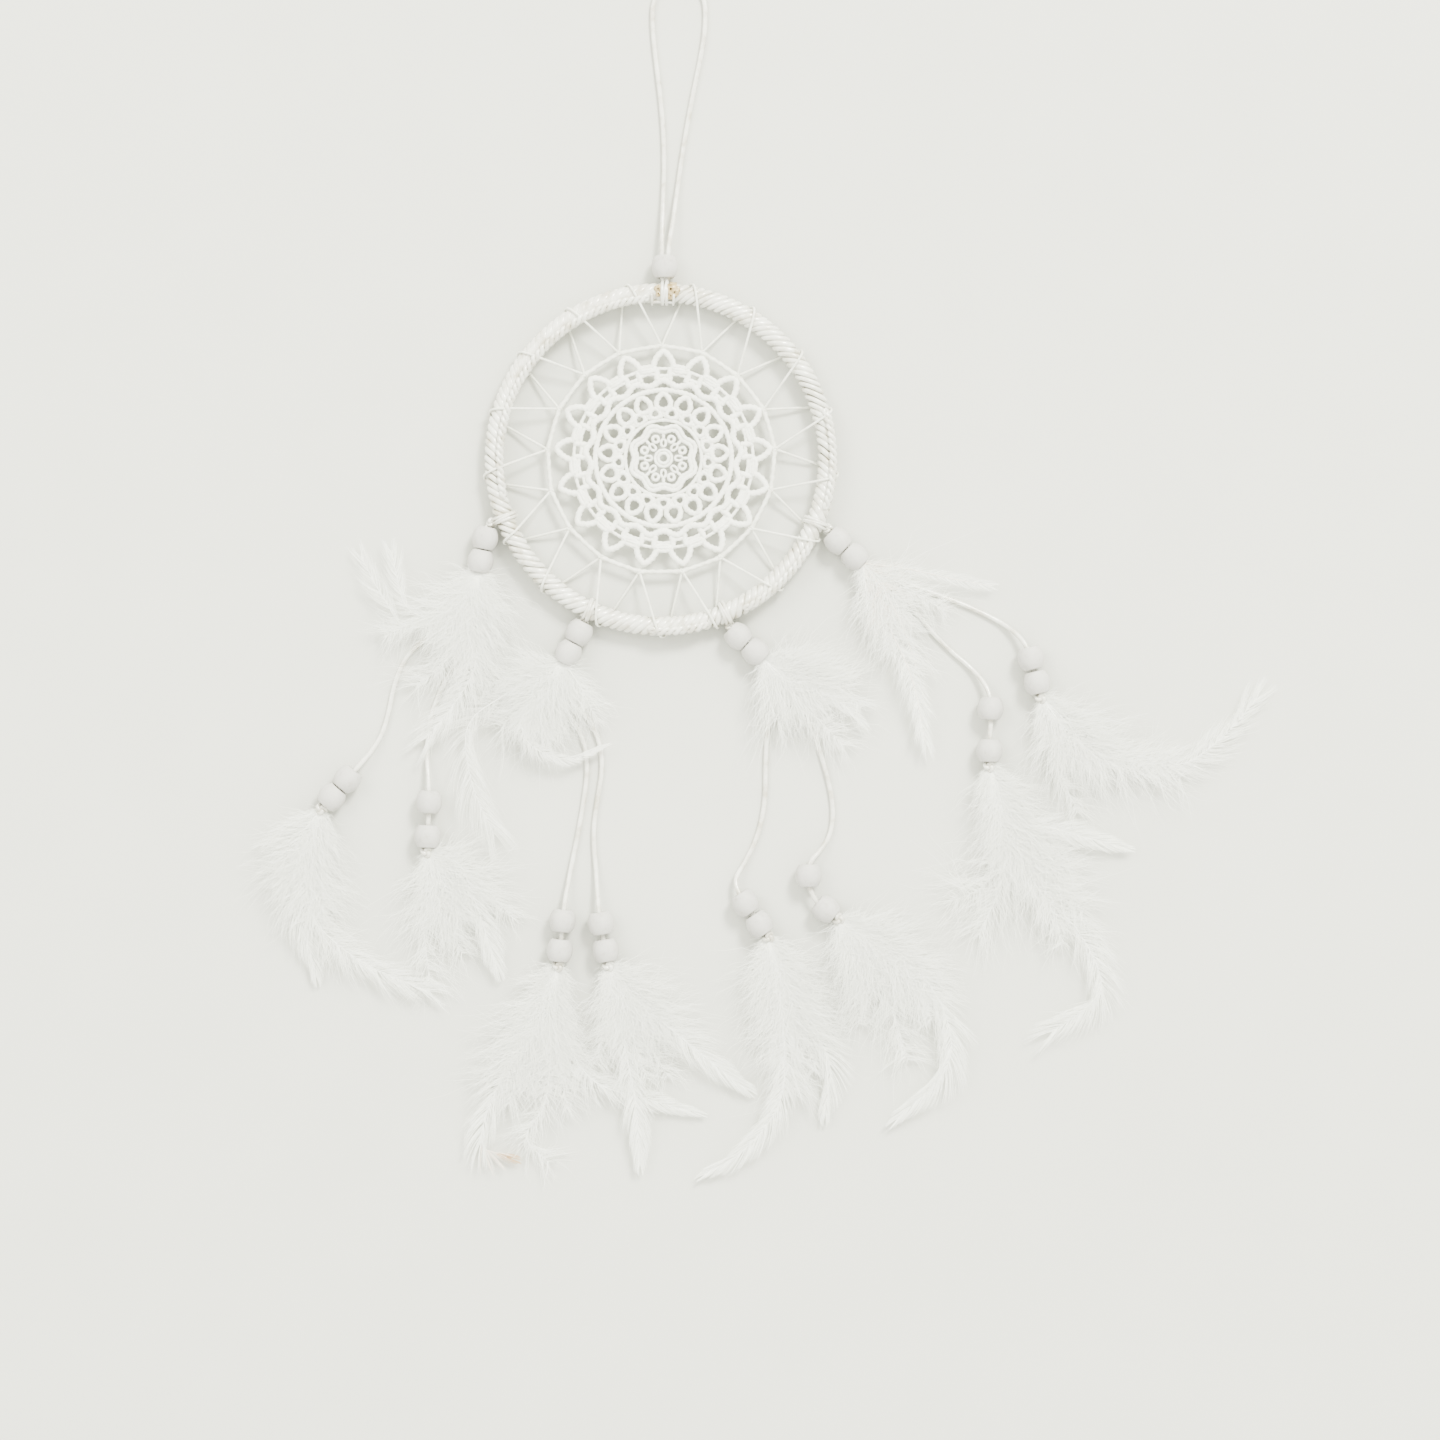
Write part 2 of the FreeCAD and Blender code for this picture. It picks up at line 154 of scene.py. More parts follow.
HANGER_BEAD = ((1.2, 60.0), 90)
HANGER_ROUTE = [
    (0.35, 57.8, 4.15), (0.3, 65.0, 4.3), (0.45, 73.5, 2.7), (0.7, 82.0, 1.1), (1.0, 91.5, 0.8),
    (0.8, 102.0, 0.8), (-0.1, 112.5, 0.8), (-1.4, 123.0, 0.8), (-2.6, 133.5, 0.8), (-2.8, 143.6, 0.8),
    (1.9, 149.6, 0.8), (8.9, 150.4, 0.8), (13.7, 144.9, 0.8), (13.9, 135.0, 0.8), (12.2, 124.8, 0.8),
    (10.0, 114.6, 0.8), (8.1, 104.4, 0.8), (6.4, 94.2, 0.8), (5.1, 84.4, 1.1), (3.9, 75.0, 2.7),
    (2.1, 65.2, 4.3), (2.05, 57.8, 4.15),
]

# Each tuft of feathers: the body it rides on, the heights of its root and of its tips, how many short downy
# shafts fill it, and its feathers. A feather is its kind, the reach of its barbs, and its shaft's points.
TUFTS = {
    "left": ("left_pendant", 5.3, 3.6, 16, [
        ("round", 8.5, [(-56.6, -34.6), (-57.0, -50.0), (-58.0, -65.0), (-65.0, -77.0), (-73.0, -86.6)]),
        ("wisp", 7.0, [(-56.8, -34.6), (-66.0, -45.0), (-79.0, -52.0), (-87.0, -42.0), (-93.4, -30.4)]),
        ("wisp", 6.0, [(-56.8, -34.6), (-68.0, -48.0), (-79.0, -46.0), (-84.0, -28.5)]),
        ("down", 8.0, [(-57.0, -34.8), (-66.0, -43.0), (-76.0, -50.0), (-86.0, -55.0)]),
        ("down", 7.0, [(-56.4, -34.8), (-53.5, -45.0), (-52.0, -56.0)]),
        ("down", 10.0, [(-57.0, -34.8), (-61.0, -52.0), (-68.0, -64.0), (-76.0, -70.0)]),
        ("down", 9.0, [(-56.8, -34.8), (-61.0, -46.0), (-63.0, -60.0), (-60.0, -74.0)]),
    ]),
    "lower_left": ("lower_left_pendant", 5.3, 4.0, 26, [
        ("down", 9.0, [(-30.4, -62.8), (-40.0, -66.0), (-55.0, -71.0)]),
        ("down", 10.5, [(-30.4, -62.8), (-38.0, -73.0), (-50.0, -83.0)]),
        ("down", 10.0, [(-30.4, -62.8), (-32.0, -75.0), (-36.0, -88.0)]),
        ("down", 8.0, [(-30.4, -62.8), (-25.0, -71.0), (-20.0, -81.0)]),
        ("down", 9.5, [(-30.4, -62.8), (-38.0, -70.0), (-46.0, -75.0)]),
        ("vane", 3.6, [(-31.0, -64.0), (-42.0, -78.0), (-41.5, -87.8), (-29.8, -93.2), (-16.7, -89.0)]),
        ("wisp", 10.5, [(-31.0, -64.0), (-48.0, -73.0), (-60.0, -83.0), (-59.0, -100.0), (-52.0, -117.0)]),
    ]),
    "lower_right": ("lower_right_pendant", 5.3, 4.0, 20, [
        ("down", 8.0, [(31.6, -62.2), (42.0, -65.0), (54.0, -70.0), (62.3, -77.0)]),
        ("down", 9.0, [(31.6, -62.2), (40.0, -72.0), (50.0, -82.0), (56.8, -89.0)]),
        ("down", 8.0, [(31.6, -62.2), (33.5, -74.0), (38.0, -85.0)]),
        ("down", 8.0, [(31.6, -62.2), (38.0, -68.0), (46.0, -77.0)]),
        ("vane", 4.5, [(31.8, -62.4), (44.0, -70.0), (56.0, -76.0), (64.0, -83.0)]),
        ("down", 7.0, [(31.6, -62.2), (44.0, -67.0), (60.0, -69.0)]),
    ]),
    "right": ("right_pendant", 5.3, 3.8, 5, [
        ("wisp", 4.0, [(62.6, -32.4), (76.0, -34.0), (90.0, -37.0), (103.0, -39.4)]),
        ("round", 5.5, [(62.6, -32.4), (70.0, -50.0), (78.0, -68.0), (82.5, -88.5)]),
        ("down", 8.5, [(62.6, -32.4), (70.0, -42.0), (76.0, -54.0), (80.0, -66.0)]),
        ("down", 7.0, [(62.6, -32.4), (75.0, -39.0), (88.0, -47.0)]),
        ("down", 6.0, [(62.6, -32.4), (64.5, -45.0), (68.0, -57.0)]),
    ]),
    "left_outer": ("left_outer_strand", 4.2, 2.4, 14, [
        ("down", 7.0, [(-105.6, -108.8), (-114.4, -119.9), (-118.5, -128.0), (-121.5, -132.5)]),
        ("vane", 8.0, [(-105.6, -108.8), (-114.0, -124.0), (-114.9, -137.4), (-109.9, -151.7),
                       (-107.7, -160.8)]),
        ("round", 7.5, [(-105.6, -108.8), (-110.0, -126.0), (-108.0, -143.0), (-93.0, -156.5),
                        (-72.0, -165.8)]),
        ("down", 8.0, [(-105.6, -108.8), (-106.0, -124.0), (-104.0, -140.0)]),
        ("wisp", 5.0, [(-105.6, -108.8), (-115.0, -113.5), (-124.0, -120.0)]),
    ]),
    "left_inner": ("left_inner_strand", 4.2, 2.4, 18, [
        ("vane", 8.0, [(-72.9, -122.2), (-63.0, -126.0), (-57.9, -137.4), (-50.7, -158.9)]),
        ("down", 8.0, [(-72.9, -122.2), (-60.0, -128.0), (-46.0, -143.0)]),
        ("down", 9.0, [(-72.9, -122.2), (-74.5, -136.0), (-73.5, -150.0), (-71.9, -163.5)]),
        ("down", 9.5, [(-72.9, -122.2), (-69.0, -138.0), (-62.0, -154.0)]),
    ]),
    "lower_left_outer": ("lower_left_outer_strand", 4.2, 2.4, 18, [
        ("down", 9.0, [(-32.0, -157.6), (-39.0, -172.0), (-47.0, -184.0), (-54.7, -194.0)]),
        ("vane", 9.0, [(-32.0, -157.6), (-42.0, -178.0), (-52.0, -198.0), (-56.0, -213.0), (-47.3, -217.5)]),
        ("down", 8.0, [(-32.0, -157.6), (-34.0, -180.0), (-36.0, -200.0), (-42.0, -211.0), (-35.0, -219.0)]),
        ("vane", 7.0, [(-32.0, -157.6), (-31.0, -176.0), (-21.6, -193.0), (-3.2, -199.6), (11.5, -203.6)]),
        ("down", 9.0, [(-32.0, -157.6), (-36.0, -174.0), (-42.0, -192.0)]),
    ]),
    "lower_left_inner": ("lower_left_inner_strand", 4.2, 2.4, 18, [
        ("vane", 8.0, [(-16.2, -157.4), (-6.9, -168.8), (15.1, -187.1), (26.9, -196.3)]),
        ("vane", 8.0, [(-16.2, -157.4), (-12.0, -180.0), (-8.0, -200.0), (-6.5, -219.4)]),
        ("down", 10.0, [(-16.2, -157.4), (-8.0, -175.0), (2.0, -192.0)]),
        ("down", 8.0, [(-16.2, -157.4), (-17.0, -174.0), (-20.0, -188.0)]),
        ("down", 9.0, [(-16.2, -157.4), (-4.0, -168.0), (8.0, -178.0)]),
    ]),
    "lower_right_inner": ("lower_right_inner_strand", 4.2, 2.4, 16, [
        ("vane", 8.0, [(33.2, -148.6), (36.8, -166.0), (38.0, -196.0), (28.0, -213.0), (13.7, -222.7)]),
        ("vane", 8.5, [(33.2, -148.6), (40.0, -168.0), (52.0, -186.0), (51.3, -203.8)]),
        ("down", 9.0, [(33.2, -148.6), (32.0, -168.0), (34.0, -186.0)]),
        ("down", 7.5, [(33.2, -148.6), (40.0, -160.0), (48.0, -173.0)]),
    ]),
    "lower_right_outer": ("lower_right_outer_strand", 4.2, 2.4, 18, [
        ("vane", 9.0, [(55.0, -143.2), (75.7, -154.9), (88.0, -171.6), (89.0, -189.0), (73.5, -205.5)]),
        ("down", 10.0, [(55.0, -143.2), (64.0, -156.0), (72.0, -172.0), (77.0, -187.0)]),
        ("down", 8.0, [(55.0, -143.2), (58.0, -160.0), (62.0, -176.0)]),
        ("down", 7.0, [(55.0, -143.2), (70.0, -150.0), (84.0, -160.0)]),
    ]),
    "right_inner": ("right_inner_strand", 4.2, 2.4, 18, [
        ("down", 12.0, [(102.3, -95.4), (103.5, -108.0), (105.0, -122.0), (100.0, -133.0), (90.3, -137.6)]),
        ("down", 12.0, [(102.3, -95.4), (108.0, -112.0), (107.0, -130.0), (99.0, -148.0)]),
        ("vane", 6.5, [(102.3, -95.4), (110.0, -110.0), (123.6, -115.3), (145.0, -121.0)]),
        ("round", 8.5, [(102.3, -95.4), (113.0, -128.0), (130.0, -147.0), (137.0, -166.0), (122.0, -178.1)]),
        ("wisp", 7.0, [(102.3, -95.4), (116.0, -120.0), (128.0, -138.0), (137.9, -153.5)]),
    ]),
    "right_outer": ("right_outer_strand", 4.2, 2.4, 12, [
        ("round", 7.5, [(118.4, -74.0), (136.7, -90.4), (160.0, -95.1), (174.0, -87.3), (185.7, -74.5)]),
        ("down", 10.0, [(118.4, -74.0), (130.0, -88.0), (146.0, -97.0), (162.0, -99.0)]),
        ("down", 9.0, [(118.4, -74.0), (122.0, -92.0), (130.0, -110.0)]),
        ("down", 9.0, [(118.4, -74.0), (128.0, -84.0), (138.0, -100.0)]),
    ]),
}


# --- Small geometry helpers ---


def to_metres(points):
    return np.asarray(points, float) * MM


def heading(angle):
    return np.array([cos(radians(angle)), sin(radians(angle)), 0.0])


def on_ring(angle, out, up):
    """A point beside the ring's middle line: so far outwards, and so far above it."""
    return heading(angle) * (RING_R + out) + np.array([0, 0, MID_Z + up])


def unit(v):
    return v / np.linalg.norm(v, axis=-1, keepdims=True)


def smooth_path(points, steps):
    """A Catmull-Rom curve through the points, evenly divided."""
    p = np.asarray(points, float)
    p = np.vstack([2 * p[0] - p[1], p, 2 * p[-1] - p[-2]])
    spans = len(p) - 3
    t = np.linspace(0, spans, 40 * spans + 1)
    i = np.minimum(t.astype(int), spans - 1)
    u = (t - i)[:, None]
    a, b, c, d = p[i], p[i + 1], p[i + 2], p[i + 3]
    curve = 0.5 * (2 * b + (c - a) * u + (2 * a - 5 * b + 4 * c - d) * u**2 + (3 * b - a - 3 * c + d) * u**3)
    return spaced(curve, steps)


def spaced(curve, steps):
    """The same line as this many equal steps."""
    far = np.concatenate([[0], np.cumsum(np.linalg.norm(np.diff(curve, axis=0), axis=1))])
    at = np.linspace(0, far[-1], steps + 1)
    return np.stack([np.interp(at, far, curve[:, k]) for k in range(3)], axis=1)


def tangents(path, closed):
    if closed:
        return unit(np.roll(path, -1, axis=0) - np.roll(path, 1, axis=0))
    return unit(np.gradient(path, axis=0))


def side_ways(path, closed):
    """Two directions across the path at each of its points, turning as little as they can along it."""
    along = tangents(path, closed)
    start = np.array([0, 0, 1.0]) if abs(along[0][2]) < 0.9 else np.array([1.0, 0, 0])
    first = np.empty_like(along)
    v = start
    for i, t in enumerate(along):
        v = v - t * v.dot(t)
        v = v / np.linalg.norm(v)
        first[i] = v
    return first, np.cross(along, first)


class Piece:
    """Collects the faces of one mesh, in millimetres, and makes its object."""

    def __init__(self):
        self.points, self.faces, self.slots, self.count = [], [], [], 0

    def grid(self, rows, closed_rows, closed_columns, slot=0):
        """Four-cornered faces over a grid of points, joined end to end where it says so."""
        n, m = rows.shape[:2]
        ids = np.arange(n * m).reshape(n, m) + self.count
        if closed_rows:
            ids = np.vstack([ids, ids[:1]])
        if closed_columns:
            ids = np.hstack([ids, ids[:, :1]])
        quads = np.stack([ids[:-1, :-1], ids[:-1, 1:], ids[1:, 1:], ids[1:, :-1]], axis=-1).reshape(-1, 4)
        self.points.append(rows.reshape(-1, 3))
        self.faces += quads.tolist()
        self.slots += [slot] * len(quads)
        first, last = ids[0][:m].tolist(), ids[-1][:m].tolist()
        self.count += n * m
        return first, last

    def tube(self, path, radius, sides=8, closed=False, flat=1.0, twist=0.0, ply=0.0, slot=0):
        """A tube, round or flat. twist is the length of one turn of its plies, and ply how deep they cut."""
        path = np.asarray(path, float)
        first, second = side_ways(path, closed)
        far = np.concatenate([[0], np.cumsum(np.linalg.norm(np.diff(path, axis=0), axis=1))])
        turn = np.linspace(0, 2 * pi, sides, endpoint=False)
        size = np.broadcast_to(np.asarray(radius, float), (len(path),))[:, None]
        if twist:
            size = size * (1 + ply * np.cos(2 * turn[None, :] - 2 * pi * far[:, None] / twist))
        else:
            size = np.repeat(size, sides, axis=1)
        rows = (
            path[:, None, :]
            + first[:, None, :] * (flat * size * np.cos(turn))[:, :, None]
            + second[:, None, :] * (size * np.sin(turn))[:, :, None]
        )
        ends = self.grid(rows, closed, True, slot)
        if not closed:
            self.faces += [ends[0][::-1], ends[1]]
            self.slots += [slot, slot]

    def build(self, name, *materials):
        mesh = bpy.data.meshes.new(name)
        mesh.from_pydata(to_metres(np.vstack(self.points)).tolist(), [], self.faces)
        for m in materials:
            mesh.materials.append(m)
        mesh.polygons.foreach_set("material_index", self.slots)
        mesh.shade_smooth()
        mesh.update()
        obj = bpy.data.objects.new(name, mesh)
        bpy.context.scene.collection.objects.link(obj)
        return obj


def belongs(obj, body, slot, *nodes):
    """The piece moves with a body and stands for these CAD nodes. slot is not used."""
    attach(obj, body)
    if nodes:
        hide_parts(*nodes)
    return obj


# --- Materials ---


def material(name, roughness, sheen=0.0, coat=0.0, metallic=0.0):
    mat = bpy.data.materials.new(name)
    mat.use_nodes = True
    shader = mat.node_tree.nodes["Principled BSDF"]
    shader.inputs["Roughness"].default_value = roughness
    shader.inputs["Sheen Weight"].default_value = sheen
    shader.inputs["Coat Weight"].default_value = coat
    shader.inputs["Metallic"].default_value = metallic
    return mat, mat.node_tree, shader


def noise(tree, scale, stretch=(1, 1, 1), **values):
    """A noise texture fixed to the object, so many lumps per metre."""
    place = tree.nodes.new("ShaderNodeTexCoord")
    mapping = tree.nodes.new("ShaderNodeMapping")
    mapping.inputs["Scale"].default_value = stretch
    tree.links.new(place.outputs["Object"], mapping.inputs["Vector"])
    node = tree.nodes.new("ShaderNodeTexNoise")
    node.inputs["Scale"].default_value = scale
    for key, value in values.items():
        node.inputs[key].default_value = value
    tree.links.new(mapping.outputs["Vector"], node.inputs["Vector"])
    return node


def colour_from(tree, shader, node, stops):
    ramp = tree.nodes.new("ShaderNodeValToRGB")
    while len(ramp.color_ramp.elements) < len(stops):
        ramp.color_ramp.elements.new(0.5)
    for element, (at, colour) in zip(ramp.color_ramp.elements, stops):
        element.position = at
        element.color = (*colour, 1)
    tree.links.new(node.outputs["Fac"], ramp.inputs["Fac"])
    tree.links.new(ramp.outputs["Color"], shader.inputs["Base Color"])


def bump_from(tree, shader, node, strength, distance):
    bump = tree.nodes.new("ShaderNodeBump")
    bump.inputs["Strength"].default_value = strength
    bump.inputs["Distance"].default_value = distance
    tree.links.new(node.outputs["Fac"], bump.inputs["Height"])
    tree.links.new(bump.outputs["Normal"], shader.inputs["Normal"])


def satin():
    """White rattail: a bright sheen over fine threads, with warmer and greyer stretches."""
    mat, tree, shader = material("satin", 0.25, sheen=0.1, coat=0.7)
    shader.inputs["Specular IOR Level"].default_value = 1.0
    shader.inputs["Coat Roughness"].default_value = 0.12
    colour_from(tree, shader, noise(tree, 260, Detail=4.0), [
        (0.3, (0.64, 0.61, 0.52)), (0.48, (0.80, 0.79, 0.73)), (0.7, (0.89, 0.89, 0.84)),
    ])
    bump_from(tree, shader, noise(tree, 2600, Detail=2.0), 0.35, 0.0002)
    return mat


def cotton(name, dark, light, roughness):
    """Matt crochet cotton, its fibres shown by a fine bump."""
    mat, tree, shader = material(name, roughness, sheen=0.25)
    colour_from(tree, shader, noise(tree, 420, Detail=5.0), [(0.32, dark), (0.62, light)])
    bump_from(tree, shader, noise(tree, 3200, Detail=3.0), 0.5, 0.0002)
    return mat


def painted_wood():
    """Thin matt white paint over turned wood, with faint grain and scuffs."""
    mat, tree, shader = material("painted_wood", 0.62)
    colour_from(tree, shader, noise(tree, 330, (1, 1, 2.5), Detail=6.0, Roughness=0.7), [
        (0.30, (0.56, 0.54, 0.50)), (0.42, (0.63, 0.62, 0.595)), (0.7, (0.68, 0.67, 0.645)),
    ])
    bump_from(tree, shader, noise(tree, 1500, (1, 1, 3), Detail=4.0), 0.3, 0.0002)
    return mat


def dried_glue():
    mat, tree, shader = material("dried_glue", 0.25, coat=0.4)
    colour_from(tree, shader, noise(tree, 700, Detail=3.0), [
        (0.35, (0.40, 0.30, 0.15)), (0.6, (0.66, 0.55, 0.36)),
    ])
    bump_from(tree, shader, noise(tree, 900), 0.5, 0.0003)
    return mat


def feather_tint(name, colour):
    """Down and vane: fine matt fibres with a soft sheen, in one tint along each stretch of a feather."""
    mat, tree, shader = material(name, 0.75, sheen=0.5)
    shader.inputs["Base Color"].default_value = (*colour, 1)
    bump_from(tree, shader, noise(tree, 5200, Detail=2.0), 0.25, 0.0001)
    return mat


def steel():
    mat, tree, shader = material("ring_steel", 0.35, metallic=1.0)
    colour_from(tree, shader, noise(tree, 500), [
        (0.4, (0.5, 0.5, 0.5)), (0.6, (0.68, 0.68, 0.68)),
    ])
    return mat


SATIN = satin()
COTTON = cotton("crochet_cotton", (0.89, 0.89, 0.83), (0.97, 0.975, 0.92), 0.8)
THREAD = cotton("web_thread", (0.82, 0.82, 0.75), (0.91, 0.915, 0.85), 0.6)
WOOD = painted_wood()
GLUE = dried_glue()
WHITE_DOWN = feather_tint("white_down", (0.97, 0.98, 0.94))
CREAM_DOWN = feather_tint("cream_down", (0.96, 0.90, 0.83))
BROWN_DOWN = feather_tint("brown_down", (0.70, 0.52, 0.34))
FEATHER_TINTS = (WHITE_DOWN, CREAM_DOWN, BROWN_DOWN)
WHITE, CREAM, BROWN = range(3)
STEEL = steel()
# Painted shade: a dark brown-grey for the tube under the wrap, so the seams between its turns read as dark
# shadowed lines.
SEAM_SHADE = cotton("painted_seam_shade", (0.30, 0.28, 0.24), (0.42, 0.40, 0.35), 0.9)

# --- Camera, floor and light ---

VIEW_CENTRE = (18.4, -81.1)
VIEW_WIDTH = 448.3
CAMERA_HEIGHT = 1300
SOFT_WHITE = (1.0, 1.0, 0.92)
FLOOR_SIZE_M = 6
WORLD_STRENGTH = 1.4
# Each soft light: its place in metres, its width in metres and its power in watts.
LIGHTS = {"key": ((1.3, 2.0, 2.6), 0.9, 108), "fill": ((-1.9, 1.2, 2.6), 1.6, 26)}


def add_camera():
    data = bpy.data.cameras.new("camera")
    data.lens = data.sensor_width * CAMERA_HEIGHT / VIEW_WIDTH
    data.clip_end = 20
    camera = bpy.data.objects.new("camera", data)
    camera.location = to_metres([*VIEW_CENTRE, CAMERA_HEIGHT + MID_Z])
    bpy.context.scene.collection.objects.link(camera)
    bpy.context.scene.camera = camera


def add_floor():
    mat, tree, shader = material("floor", 0.9)
    colour_from(tree, shader, noise(tree, 30, Detail=6.0), [
        (0.3, (0.70, 0.705, 0.665)), (0.7, (0.715, 0.72, 0.68)),
    ])
    bpy.ops.mesh.primitive_plane_add(size=FLOOR_SIZE_M)
    floor = bpy.context.object
    floor.name = "floor"
    floor.data.materials.append(mat)


def add_light(name, place, size, power):
    data = bpy.data.lights.new(name, "AREA")
    data.size, data.energy, data.color = size, power, SOFT_WHITE
    light = bpy.data.objects.new(name, data)
    light.location = place
    aim = np.array([*to_metres(VIEW_CENTRE), 0]) - np.array(place)
    light.rotation_euler = Vector(aim).to_track_quat("-Z", "Y").to_euler()
    bpy.context.scene.collection.objects.link(light)


def add_world():
    world = bpy.data.worlds.new("studio")
    world.use_nodes = True
    back = world.node_tree.nodes["Background"]
    back.inputs["Color"].default_value = (*SOFT_WHITE, 1)
    back.inputs["Strength"].default_value = WORLD_STRENGTH
    bpy.context.scene.world = world


add_camera()
add_floor()
add_world()
for light_name, light in LIGHTS.items():
    add_light(light_name, *light)
bpy.context.scene.view_settings.look = "AgX - High Contrast"


# --- Cords ---


def cord_curve(name, route):
    """A smooth round cord with the route's points as the control points of its spline."""
    data = bpy.data.curves.new(name, "CURVE")
    data.dimensions = "3D"
    data.resolution_u = 10
    data.bevel_depth = CORD_R * MM
    data.bevel_resolution = 4
    data.use_fill_caps = True
    spline = data.splines.new("NURBS")
    spline.points.add(len(route) - 1)
    for point, place in zip(spline.points, to_metres(route)):
        point.co = (*place, 1)
    spline.order_u = 3
    spline.use_endpoint_u = True
    data.materials.append(SATIN)
    obj = bpy.data.objects.new(name, data)
    bpy.context.scene.collection.objects.link(obj)
    return obj


def knot(piece, centre, size, cord_r, turn=0.0, slot=0):
    """An overhand knot pulled tight: a trefoil of cord, in a ball of about this radius."""
    t = np.linspace(0, 2 * pi, 72, endpoint=False)
    reach = size - cord_r
    out = reach * (0.62 + 0.38 * np.cos(3 * t))
    spin = 2 * t + radians(turn)
    path = np.stack([out * np.cos(spin), out * np.sin(spin), 0.72 * reach * np.sin(3 * t)], axis=1)
    piece.tube(path + centre, cord_r, 8, closed=True, slot=slot)


def mouth(centre, angle, beyond):
    """On a bead's axis, so far beyond its leaving end."""
    return np.array([*centre, MID_Z]) + heading(angle) * (BEAD_H / 2 + beyond)


# --- Beads ---


def bead_profile():
    """(radius, height) round a bored barrel: its bore, its rounded rims, and shallow turned grooves."""
    half = BEAD_H / 2 - 0.1
    heights = np.linspace(-half + 0.25, half - 0.25, 33)
    arc_r = (half**2 + (BEAD_R - BEAD_END_R) ** 2) / (2 * (BEAD_R - BEAD_END_R))
    radii = BEAD_R - arc_r + np.sqrt(arc_r**2 - heights**2)
    for at in (-2.9, -2.4, 2.55, 2.95):
        radii = radii - 0.05 * np.exp(-(((heights - at) / 0.12) ** 2))
    side = np.stack([radii, heights], axis=1)
    bore = [(BORE_R, -half + 0.3), (BORE_R + 0.12, -half + 0.06), (BORE_R + 0.3, -half)]
    rim = [(BEAD_END_R - 0.22, -half), (BEAD_END_R - 0.06, -half + 0.05)]
    low = np.array(bore + rim)
    high = np.array(bore + rim)[::-1] * np.array([1, -1])
    return np.vstack([low, side, high])


BEAD_PROFILE = bead_profile()
BEAD_SIDES = 48


def bead(name, centre, angle, body, node, seed):
    """A turned, painted bead, a little out of round."""
    rng = np.random.default_rng(seed)
    axis, across = heading(angle), heading(angle + 90)
    up = np.array([0, 0, 1.0])
    turn = np.linspace(0, 2 * pi, BEAD_SIDES, endpoint=False)
    wobble = 1 + 0.008 * np.cos(2 * turn + rng.uniform(0, 6)) + 0.004 * np.cos(5 * turn + rng.uniform(0, 6))
    r = BEAD_PROFILE[:, 0][:, None] * np.where(BEAD_PROFILE[:, 0][:, None] > 2.4, wobble, 1.0)
    rows = (
        np.array([*centre, MID_Z])
        + axis * BEAD_PROFILE[:, 1][:, None, None]
        + across * (r * np.cos(turn))[:, :, None]
        + up * (r * np.sin(turn))[:, :, None]
    )
    piece = Piece()
    piece.grid(rows, True, True)
    return belongs(piece.build(name, WOOD), body, "painted_wood", node)


# --- Ring ---


WRAP_TURNS = 138
TURN_STEPS = 20
WRAP_HALF_THICK = 0.72
# How far the turns of the wrap lean, in degrees round the ring, counted from where it was started.
SLANTS = (
    (0, 3.0), (60, 2.8), (80, 1.9), (115, 2.5), (170, 2.4), (200, 1.7), (250, 2.0), (300, 2.6), (360, 3.0),
)
# Half the width of a turn, at the same angles: where it is wide, the turns overlap into a smooth band.
TURN_WIDTHS = (
    (0, 1.3), (60, 1.2), (85, 0.9), (120, 0.86), (165, 0.95),
    (190, 1.1), (245, 1.1), (270, 0.86), (350, 0.88), (360, 1.3),
)


def ring_normal(theta, phi):
    return np.stack([np.cos(phi) * np.cos(theta), np.cos(phi) * np.sin(theta), np.sin(phi)], axis=-1)


def around_ring(theta, phi, reach):
    """Points at this distance from the ring's middle line. phi is 0 outside, pi/2 on top and pi inside."""
    out = RING_R + reach * np.cos(phi)
    return np.stack([out * np.cos(theta), out * np.sin(theta), MID_Z + reach * np.sin(phi)], axis=-1)


def ribbon_round(piece, theta, phi, reach, half_width, half_thick, sides=10, closed=False):
    """A flat cord laid on the ring, its thin way pointing out of the ring's tube."""
    path, normal = around_ring(theta, phi, reach), ring_normal(theta, phi)
    along = tangents(path, closed)
    side = unit(np.cross(normal, along))
    turn = np.linspace(0, 2 * pi, sides, endpoint=False)
    wide = np.broadcast_to(half_width, (len(path),))[:, None]
    bulge = np.sign(np.sin(turn)) * np.abs(np.sin(turn)) ** 0.8
    rows = (
        path[:, None, :]
        + side[:, None, :] * (wide * np.cos(turn))[:, :, None]
        + normal[:, None, :] * (half_thick * bulge)[None, :, None]
    )
    piece.grid(rows, closed, True)


def ring_wrap():
    """The satin cord wound round the ring, its turns slanted and a little uneven."""
    rng = np.random.default_rng(7)
    piece = Piece()
    count = WRAP_TURNS * TURN_STEPS
    t = np.arange(count) / TURN_STEPS
    uneven = np.cumsum(rng.normal(0, 0.10, WRAP_TURNS))
    uneven -= np.linspace(0, uneven[-1], WRAP_TURNS)
    base = (t + np.interp(t, np.arange(WRAP_TURNS), uneven)) * 2 * pi / WRAP_TURNS
    phi = 2 * pi * t
    slant = np.radians(np.interp(np.degrees(base) % 360, *zip(*SLANTS)))
    theta = base + radians(95) - slant * np.cos(phi)
    width = np.interp(np.degrees(base) % 360, *zip(*TURN_WIDTHS))
    width = width + np.interp(t, np.arange(WRAP_TURNS), rng.normal(0, 0.06, WRAP_TURNS))
    ribbon_round(piece, theta, phi, WRAP_R - WRAP_HALF_THICK, width, WRAP_HALF_THICK, closed=True)
    # A dark tube under the turns, in the painted seam shade, darkens the gaps between them.
    theta_core = np.linspace(0, 2 * pi, 160, endpoint=False)
    piece.tube(around_ring(theta_core, np.full(160, 0.0), 0.0), 2.0, 14, closed=True, slot=1)
    return belongs(piece.build("ring_wrap", SATIN, SEAM_SHADE), "ring", "satin_wrap", "hoop_wrap")


